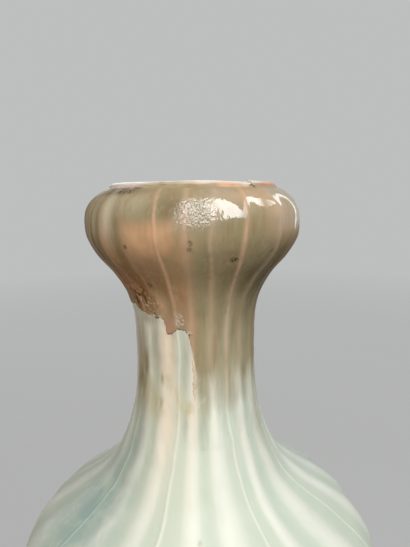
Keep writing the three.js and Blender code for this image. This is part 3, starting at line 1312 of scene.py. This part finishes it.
@dataclass
class LipArc:
    """A stretch of the lip between two breaks: a rounded section carried round the axis."""

    name: str
    base_z: float
    top_z: float
    start: float
    end: float
    # how far it has settled, about which angle and over how many degrees
    settled: float = 0.0
    settled_angle: float = 0.0
    settled_half: float = 22.0
    columns: int = 420
    inner_radius: float = 46.0
    top_radius: float = 52.0
    foot_radius: float = 55.0
    round_height: float = 2.2
    # points of the section up the side, over the top and down the bore
    side_points: int = 7
    top_points: int = 19
    bore_points: int = 5
    # the break's zigzag in degrees, with its waves along the radius and the height
    jag: float = 0.9
    jag_waves: tuple[float, float] = (3.1, 1.3)
    # the unevenness of a thrown lip: rise and fall of the top, and swing of the radius
    waver: float = 0.1
    waver_waves: int = 5
    waver_phase: float = 0.6
    swing: float = 0.15
    swing_waves: int = 3
    # the marks begin at the first of these radii and are full at the second
    marked_radii: tuple[float, float] = (47.5, 51.2)
    marks: Marks = field(default_factory=lambda: mark_table({
        "khaki": ((0, 4.2, 1000, 3.4, 1.0, 6.0), (-15, 1.5, 15, 3.0, 0.8, 4.0)),
        "russet": ((58, 2.4, 14, 3.0, 1.0, 4.0), (-100, 2.0, 20, 2.0, 0.6)),
        # pinkish white wear, with painted highlights along the top and by the break
        "bloom_and_highlight": (
            (-51, 1.7, 19, 1.6, 0.9, 4.0), (0, 0.2, 1000, 0.5, 0.2), (6, 0.9, 5, 0.8, 0.7),
            (34, 1.2, 4, 1.6, 0.7), (44, 0.5, 6, 0.8, 0.6),
        ),
        "flush": ((24, 1.8, 12, 2.6, 0.75, 4.0), (56, 0.8, 14, 1.0, 0.4), (4, 0.8, 8, 0.8, 0.6)),
        # painted shade in the crease under the lip; the dark loop in the break is added to it below
        "soot_and_crease_shade": (
            (-58, 3.6, 9, 1.0, 0.9), (-43, 3.8, 5, 1.1), (-34, 3.8, 4, 0.9), (20, 4.2, 28, 0.4, 0.6),
        ),
    }))
    soot_loop: Blister = Blister(37.5, 3.2, 1.6, 1.1)
    soot_width: float = 0.35
    sharp_degrees: float = 40.0

    def section(self) -> Array:
        """The outline: flared side, half an ellipse over the top, and the bore.

        Returns:
            Radii and heights, from the foot outside to the foot inside.
        """
        middle = (self.top_radius + self.inner_radius) / 2
        turn = np.linspace(0.0, np.pi, self.top_points)
        over = np.stack([middle + (self.top_radius - middle) * np.cos(turn),
                         self.top_z - self.round_height + self.round_height * np.sin(turn)], -1)
        side = np.linspace([self.foot_radius, self.base_z], over[0], self.side_points)[:-1]
        bore = np.linspace(over[-1], [self.inner_radius, self.base_z], self.bore_points)[1:]
        return np.concatenate([side, over, bore])

    def points(self, outline: Array, angle: Array) -> Array:
        """Carries the section round the axis.

        The radius swings and the top wavers by a sine of the angle, and the top has settled by a
        bell of the angle. What moves the top fades to nothing at the foot of the section.

        Args:
            outline: the section.
            angle: the angle of each point, as rows by columns.

        Returns:
            Points as rows by columns by three.
        """
        turn = np.radians(angle)
        bell = np.exp(-((wrapped(angle) - self.settled_angle) / self.settled_half) ** 2)
        waver = self.waver * np.sin(turn * self.waver_waves + self.waver_phase) - self.waver
        radius = outline[:, :1] + self.swing * np.sin(turn * self.swing_waves)
        rise = smooth(self.base_z, self.top_z, outline[:, 1:])
        return polar(angle, radius, outline[:, 1:] + (waver - self.settled * bell) * rise)

    def build(self, material: Material) -> Object:
        """Makes the arc, with both its broken ends wandering in the same way as its neighbour's.

        A broken end's angle zigzags by a sine of the radius and half as much by one of the height.

        Args:
            material: its finish.

        Returns:
            The piece.
        """
        outline = self.section()
        across, up = self.jag_waves
        jag = self.jag * np.sin(across * outline[:, 0]) + 0.5 * self.jag * np.sin(up * outline[:, 1])
        share = np.linspace(0.0, 1.0, self.columns)
        angle = self.start + (self.end - self.start) * share[None, :] + jag[:, None]
        points = self.points(outline, angle)
        rows, columns = points.shape[:2]
        first = np.arange(rows) * columns
        ends = [first.tolist(), (first[::-1] + columns - 1).tolist()]
        turn, drop = np.broadcast_arrays(wrapped(angle), self.top_z - outline[:, 1:])
        radius = np.hypot(points[..., 0], points[..., 1])
        outside = smooth(*self.marked_radii, radius)
        values = {name: outside * number for name, number in painted(self.marks, turn, drop).items()}
        loop = self.soot_loop.at(turn, drop, radius, self.soot_width)
        values["soot_and_crease_shade"] = np.maximum(values["soot_and_crease_shade"], outside * loop)
        faces = grid_faces(rows, columns, closed_columns=False)
        piece = mesh_object(self.name, points.reshape(-1, 3), faces, None, values, ends)
        piece.data.set_sharp_from_angle(angle=math.radians(self.sharp_degrees))
        return dressed(piece, self.name, Slot.GLAZE, material)


@dataclass
class Studio:
    """A plain pale floor, soft lamps and the camera of the photograph."""

    camera_place: tuple[float, float, float] = (0.0, -285.0, 390.1)
    pitch_down: float = 9.61
    yaw_right: float = 1.43
    roll: float = -0.81
    focal_px: float = 440.0
    sensor_mm: float = 36.0
    # brightness of the surroundings where they are seen, and as light on the vase
    pale: str = "#eef0ef"
    seen: float = 0.6
    light: float = 0.08
    # the floor: half its side in metres, the share of it that is drawn as bright as the
    # surroundings, and how many metres off it begins and ends to fade into them
    paper: str = "#9d9c99"
    floor_half: float = 4.0
    floor_seen: float = 0.75
    fade_from: float = 0.45
    fade_to: float = 2.2
    # height in metres that the lamps face
    aim_height: float = 0.3

    def camera(self) -> None:
        """Sets the camera: it looks along +Y, turned right, tipped down and rolled."""
        yaw, pitch, roll = (math.radians(a) for a in (self.yaw_right, self.pitch_down, self.roll))
        level = Vector((math.sin(yaw), math.cos(yaw), 0.0))
        right = Vector((math.cos(yaw), -math.sin(yaw), 0.0))
        up = level * math.sin(pitch) + Vector((0.0, 0.0, math.cos(pitch)))
        forward = level * math.cos(pitch) - Vector((0.0, 0.0, math.sin(pitch)))
        image_right = right * math.cos(roll) + up * math.sin(roll)
        image_up = up * math.cos(roll) - right * math.sin(roll)
        turned = Matrix((image_right, image_up, -forward)).transposed()
        data = bpy.data.cameras.new("camera")
        data.sensor_width = self.sensor_mm
        data.lens = self.focal_px / IMAGE_HEIGHT_PX * self.sensor_mm
        data.clip_start = 10.0 * MM
        camera = placed("camera", data)
        camera.matrix_world = Matrix.Translation(Vector(self.camera_place) * MM) @ turned.to_4x4()
        bpy.context.scene.camera = camera

    def seen_directly(self, tree: Tree) -> Socket:
        """Tells what is seen from what only lights the vase.

        Args:
            tree: the node tree of a material or the world.

        Returns:
            One for a ray from the camera, a reflection or glass, and zero for any other.
        """
        paths = [add_node(tree, "ShaderNodeLightPath", out=f"Is {kind} Ray")
                 for kind in ("Camera", "Glossy", "Transmission")]
        share = add_node(tree, "ShaderNodeMath", {"operation": "MAXIMUM"}, in0=paths[0], in1=paths[1])
        return add_node(tree, "ShaderNodeMath", {"operation": "MAXIMUM"}, in0=share, in1=paths[2])

    def floor(self) -> None:
        """Lays a sheet of pale paper under the vase, which fades into the surroundings far from it."""
        half = self.floor_half / MM
        corners = np.array([(-half, -half, 0), (half, -half, 0), (half, half, 0), (-half, half, 0)])
        floor = mesh_object("floor", corners, np.array([[0, 1, 2, 3]]))
        material, tree, shader = shaded("floor_paper")
        feed(shader, Base_Color=linear(self.paper), Roughness=0.9)
        lit = add_node(tree, "ShaderNodeEmission", Color=linear(self.pale), Strength=self.seen)
        share = add_node(tree, "ShaderNodeMath", {"operation": "MULTIPLY"},
                         in0=self.seen_directly(tree), in1=self.floor_seen)
        paper = add_node(tree, "ShaderNodeMixShader", in0=share, in1=shader.outputs[0], in2=lit)
        place = add_node(tree, "ShaderNodeTexCoord", out="Object")
        away = add_node(tree, "ShaderNodeVectorMath", {"operation": "LENGTH"}, "Value", in0=place)
        far = add_node(tree, "ShaderNodeMapRange", Value=away, From_Min=self.fade_from,
                       From_Max=self.fade_to)
        clear = add_node(tree, "ShaderNodeBsdfTransparent")
        faded = add_node(tree, "ShaderNodeMixShader", in0=far, in1=paper, in2=clear)
        feed(next(n for n in tree.nodes if n.type == "OUTPUT_MATERIAL"), Surface=faded)
        floor.data.materials.append(material)

    def lamp(self, name: str, azimuth: float, elevation: float, distance: float,
             size: tuple[float, float], power: float, colour: str = "#ffffff",
             fan: float = 180.0) -> None:
        """Hangs an area lamp that faces the neck of the vase.

        Args:
            name: the lamp's name.
            azimuth: degrees from the front towards the right.
            elevation: degrees above the neck.
            distance: metres from the neck.
            size: width and height in metres.
            power: watts.
            colour: sRGB hex.
            fan: degrees over which its light fans out.
        """
        data = bpy.data.lights.new(name, "AREA")
        data.shape = "RECTANGLE"
        data.size, data.size_y = size
        data.energy, data.spread = power, math.radians(fan)
        data.color = linear(colour)[:3]
        lamp = placed(name, data)
        aim = Vector((0.0, 0.0, self.aim_height))
        turn, rise = math.radians(azimuth), math.radians(elevation)
        way = Vector((math.sin(turn) * math.cos(rise), -math.cos(turn) * math.cos(rise), math.sin(rise)))
        lamp.location = aim + way * distance
        lamp.rotation_euler = way.to_track_quat("Z", "Y").to_euler()

    def world(self) -> None:
        """Sets the surroundings: pale where they are seen, and a dimmer even light on the vase."""
        world = bpy.data.worlds.new("studio")
        world.use_nodes = True
        tree = world.node_tree
        tree.nodes.clear()
        strength = add_node(tree, "ShaderNodeMapRange", Value=self.seen_directly(tree),
                            To_Min=self.light, To_Max=self.seen)
        shade = add_node(tree, "ShaderNodeBackground", Color=linear(self.pale), Strength=strength)
        feed(tree.nodes.new("ShaderNodeOutputWorld"), Surface=shade)
        bpy.context.scene.world = world

    def build(self) -> None:
        """Sets up the camera, floor, lamps and surroundings."""
        self.camera()
        self.floor()
        self.lamp("window_front", 3.0, 42.0, 1.1, (0.42, 0.85), 7.8)
        self.lamp("window_side", 45.0, 43.0, 0.95, (0.3, 1.05), 4.0)
        self.lamp("window_right", 134.0, 17.0, 0.9, (0.13, 0.62), 0.5)
        self.lamp("window_high", 94.0, 47.0, 0.9, (0.26, 0.3), 0.9)
        self.lamp("fill_back", 185.0, 28.0, 1.2, (0.7, 0.7), 3.2)
        self.lamp("bounce_left", -40.0, 3.0, 0.8, (0.5, 0.3), 0.32, "#ffe6d0", 70.0)
        self.world()
        bpy.context.scene.view_settings.view_transform = "Standard"


@dataclass
class SlipJoint:
    """The slip in a joint: a ring set back from the outside, with a low bead squeezed into the hollow."""

    name: str
    form: Form
    crown_z: float
    bore: float | None = None
    set_back: float = 2.6
    squeezed: float = 0.8
    bead: float = 0.3

    def build(self, material: Material) -> Object:
        """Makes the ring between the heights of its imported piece.

        Its outside lies the set-back inside the form and its bore goes past the wall, both square
        to the slope.

        Args:
            material: its finish.

        Returns:
            The piece.
        """
        low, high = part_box(self.name)
        z = np.array([low.z, high.z]) / MM
        radius, slope, wall = self.form.outside(np.minimum(z, self.crown_z))
        slant = np.hypot(1.0, slope)
        outer = radius - self.set_back * slant
        bore = radius - (wall + self.squeezed) * slant if self.bore is None else np.full(2, self.bore)
        bead = (bore.mean() - self.bead, z.mean())
        outline = [(outer[0], z[0]), (outer[1], z[1]), (bore[1], z[1]), bead, (bore[0], z[0])]
        return Turned(self.name, Slot.SLIP, np.array(outline)).build(material)


@dataclass
class Foot:
    """The foot: a turned ring, rounded where it was wiped, and the saucer-like disc set in it."""

    body_z: float
    slip_half: float
    outer_radius: float = 68.0
    outer_round: float = 2.4
    inner_radius: float = 55.0
    inner_round: float = 1.6
    joint_radius: float = 72.7
    seat_radius: float = 60.3
    round_points: int = 7
    side_points: int = 9
    disc_thickness: float = 6.0
    # the disc from its middle, with heights over its seat, and back, with heights over its rim
    disc_under: tuple[tuple[float, float], ...] = (
        (0.3, 1.6), (20.0, 1.0), (40.0, 0.4), (53.0, 0.0), (60.0, 0.0),
    )
    disc_over: tuple[tuple[float, float], ...] = ((60.0, 0.0), (30.0, -0.2), (0.3, -0.3))

    def ring_outline(self) -> Array:
        """The ring's section: quarter circles at the floor, straight sides, and a ledge for the disc.

        Returns:
            Radii and heights, up the outside and down the inside.
        """
        seat, top = self.body_z - self.disc_thickness, self.body_z + self.slip_half
        turn = np.linspace(0.0, np.pi / 2, self.round_points)
        across, up = 1.0 - np.sin(turn), 1.0 - np.cos(turn)
        toe = np.stack([self.outer_radius - self.outer_round * across, self.outer_round * up], -1)
        heel = np.stack([self.inner_radius + self.inner_round * across, self.inner_round * up], -1)
        side = np.linspace((self.outer_radius, self.outer_round), (self.joint_radius, top),
                           self.side_points)[1:]
        ledge = [(self.seat_radius, top), (self.seat_radius, seat), (self.inner_radius, seat)]
        return np.concatenate([toe, side, ledge, heel[::-1]])

    def build(self, material: Material) -> tuple[Object, Object]:
        """Makes the ring and the disc.

        Args:
            material: their finish.

        Returns:
            Both pieces.
        """
        ring = Turned("foot_ring", Slot.BISCUIT, self.ring_outline()).build(material)
        under = np.array(self.disc_under) + (0.0, self.body_z - self.disc_thickness)
        over = np.array(self.disc_over) + (0.0, self.body_z)
        disc = Turned("base_disc", Slot.BISCUIT, np.concatenate([under, over]), solid=True)
        return ring, disc.build(material)


@dataclass
class Vase:
    """The vase: its form, the marks on it, and its pieces in the order they were put together."""

    waist_z: float = 295.7
    shoulder_z: float = 180.0
    bulb_z: float = 374.1
    slip_half: float = 0.5
    foot_bore: float = 57.5
    # the break in the lip, with how far it settled there, its glue line and the wear of the rest
    break_start: float = 38.0
    break_end: float = 98.0
    break_settled: float = 0.65
    glue_degrees: float = 0.25
    lip_wear: float = 0.15
    lip_gap: float = 0.05
    # how far the overpaint runs up over the crown
    paint_over_crown: float = 0.8
    drifts: tuple[Drift, ...] = tuple(Drift(*row) for row in (
        (17.0, 372.0, -4.8, 13.0, 30.0), (-31.5, 372.0, -3.5, 9.0, 30.0), (-17.0, 290.0, 2.0, 9.0, 45.0),
        (50.0, 205.0, -2.5, 14.0, 40.0), (-47.5, 300.0, 2.5, 8.0, 60.0), (-17.0, 205.0, -2.0, 8.0, 30.0),
        (28.0, 200.0, 2.5, 8.0, 30.0), (22.0, 195.0, 2.5, 3.5, 40.0), (28.0, 372.0, -2.1, 7.0, 28.0),
        (41.5, 368.0, 2.8, 6.0, 28.0), (14.5, 355.0, -2.2, 5.0, 30.0),
    ))
    marks: Marks = field(default_factory=lambda: mark_table({
        "stain": (
            (-52.5, 110, 4.8, 9), (-62, 122, 12, 16, 0.85), (-31.5, 116.5, 1.5, 3.6, 0.6),
            (-32, 131, 1.6, 3.5, 0.4), (0.3, 198, 0.75, 0.9, 0.6, 3.0),
        ),
        "residue": (
            (-38, 133, 9, 9, 0.8), (-26, 117, 6, 9, 0.5), (-9, 132.5, 6, 5, 0.9),
            (-15, 128, 5, 12, 0.45), (5, 134, 5, 5, 0.5), (-50, 126, 12, 12, 0.6),
            (120, 136, 40, 8, 0.5), (-140, 130, 30, 10, 0.5),
        ),
        "peach": (
            (-25, 100, 7.5, 20, 0.85, 4.0), (-25, 140, 7, 26, 0.75), (-21, 124, 5, 10, 0.7),
            (-2.2, 118, 1.6, 24, 0.8), (-3, 143, 3.5, 14, 0.5), (41, 150, 5, 22, 0.15),
            (170, 150, 20, 25, 0.5),
        ),
        "haze": (
            (-38, 98, 8, 26, 0.6), (-62, 102, 16, 36, 0.9), (-9, 105, 6, 26, 0.4),
            (-43, 126, 8, 24, 0.4), (-9.5, 143, 3, 9, 0.3), (4.5, 145, 4, 9, 0.3), (-19, 94, 4, 18, 0.4),
            (-5, 95, 4, 14, 0.5), (-45, 80, 16, 6, 0.8), (-53, 152, 9, 20, 0.2), (65, 150, 14, 24, 0.4),
        ),
        # bluer glaze, and painted cool shade on the left of the shoulder
        "cool_glaze_and_shade": (
            (-64, 200, 23, 36), (-9, 102, 3.6, 20, 0.4), (-57, 166, 14, 28, 0.8), (-9.5, 143, 3, 9, 0.3),
            (4.5, 145, 4, 9, 0.35), (130, 210, 30, 40, 0.5),
        ),
    }))

    def __post_init__(self) -> None:
        """Takes the joints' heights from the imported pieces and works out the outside."""
        self.foot_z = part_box("foot_ring")[1].z / MM
        self.belly_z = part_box("lower_body")[1].z / MM
        self.collar_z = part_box("neck")[0].z / MM
        self.flare_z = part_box("neck")[1].z / MM
        self.crown_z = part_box("mouth_bulb")[1].z / MM
        self.top_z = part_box("lip_ring")[1].z / MM
        # height, radius over the ribs, radius gained per millimetre upwards, wall
        self.form = Form((
            Station(self.foot_z, 73.0, 1.45, 8.0),
            Station(self.belly_z, 125.0, 0.0, 7.0),
            Station(self.shoulder_z, 101.0, -1.3, 7.0),
            Station(self.collar_z, 58.2, -0.61, 5.5),
            Station(self.waist_z, 39.2, 0.0, 5.5),
            Station(self.flare_z, 55.5, 0.93, 5.0),
            Station(self.bulb_z, 67.4, 0.0, 5.0),
            Station(self.crown_z, 56.4, -1.65, 5.0),
        ))
        self.skin = Skin(self.form, Flutes(), self.crown_z, self.foot_z, self.drifts)

    def build(self) -> None:
        """Builds and dresses every piece, from the foot up."""
        glaze, slip = CeladonGlaze(), SlipClay().build()
        glazed, biscuit = glaze.build(), FootClay().build(glaze)
        Foot(self.foot_z, self.slip_half).build(biscuit)
        half = self.slip_half
        joints = (self.foot_z + half, self.belly_z + half, self.collar_z - half, self.flare_z + half,
                  self.crown_z)
        names = ("lower_body", "upper_body", "neck", "mouth_bulb")
        for name, low, high in zip(names, joints[:-1], joints[1:]):
            GlazedSection(name, low, high, self.skin, self.top_z, self.marks).build(glazed)
        SlipJoint("foot_slip", self.form, self.crown_z, self.foot_bore).build(slip)
        for name in ("belly_slip", "collar_slip", "flare_slip", "lip_slip"):
            SlipJoint(name, self.form, self.crown_z).build(slip)
        self.lip(glazed)
        skin = OverpaintSkin(self.skin, self.top_z, self.crown_z + self.paint_over_crown)
        skin.build(AgedOverpaint().build(glaze), self.marks)

    def lip(self, material: Material) -> None:
        """Builds the lip and the piece that was bonded back into its break.

        Args:
            material: their finish.
        """
        base, start, end = self.crown_z + self.lip_gap, self.break_start, self.break_end
        LipArc("lip_ring", base, self.top_z - self.lip_wear, end, start + FULL_TURN,
               self.break_settled, start).build(material)
        LipArc("rim_shard", base, self.top_z, start + self.glue_degrees, end - self.glue_degrees,
               columns=90).build(material)


def main() -> None:
    """Builds the studio and the vase."""
    logging.basicConfig(level=logging.INFO, format="%(message)s")
    Studio().build()
    Vase().build()


if __name__ == "__main__":
    main()
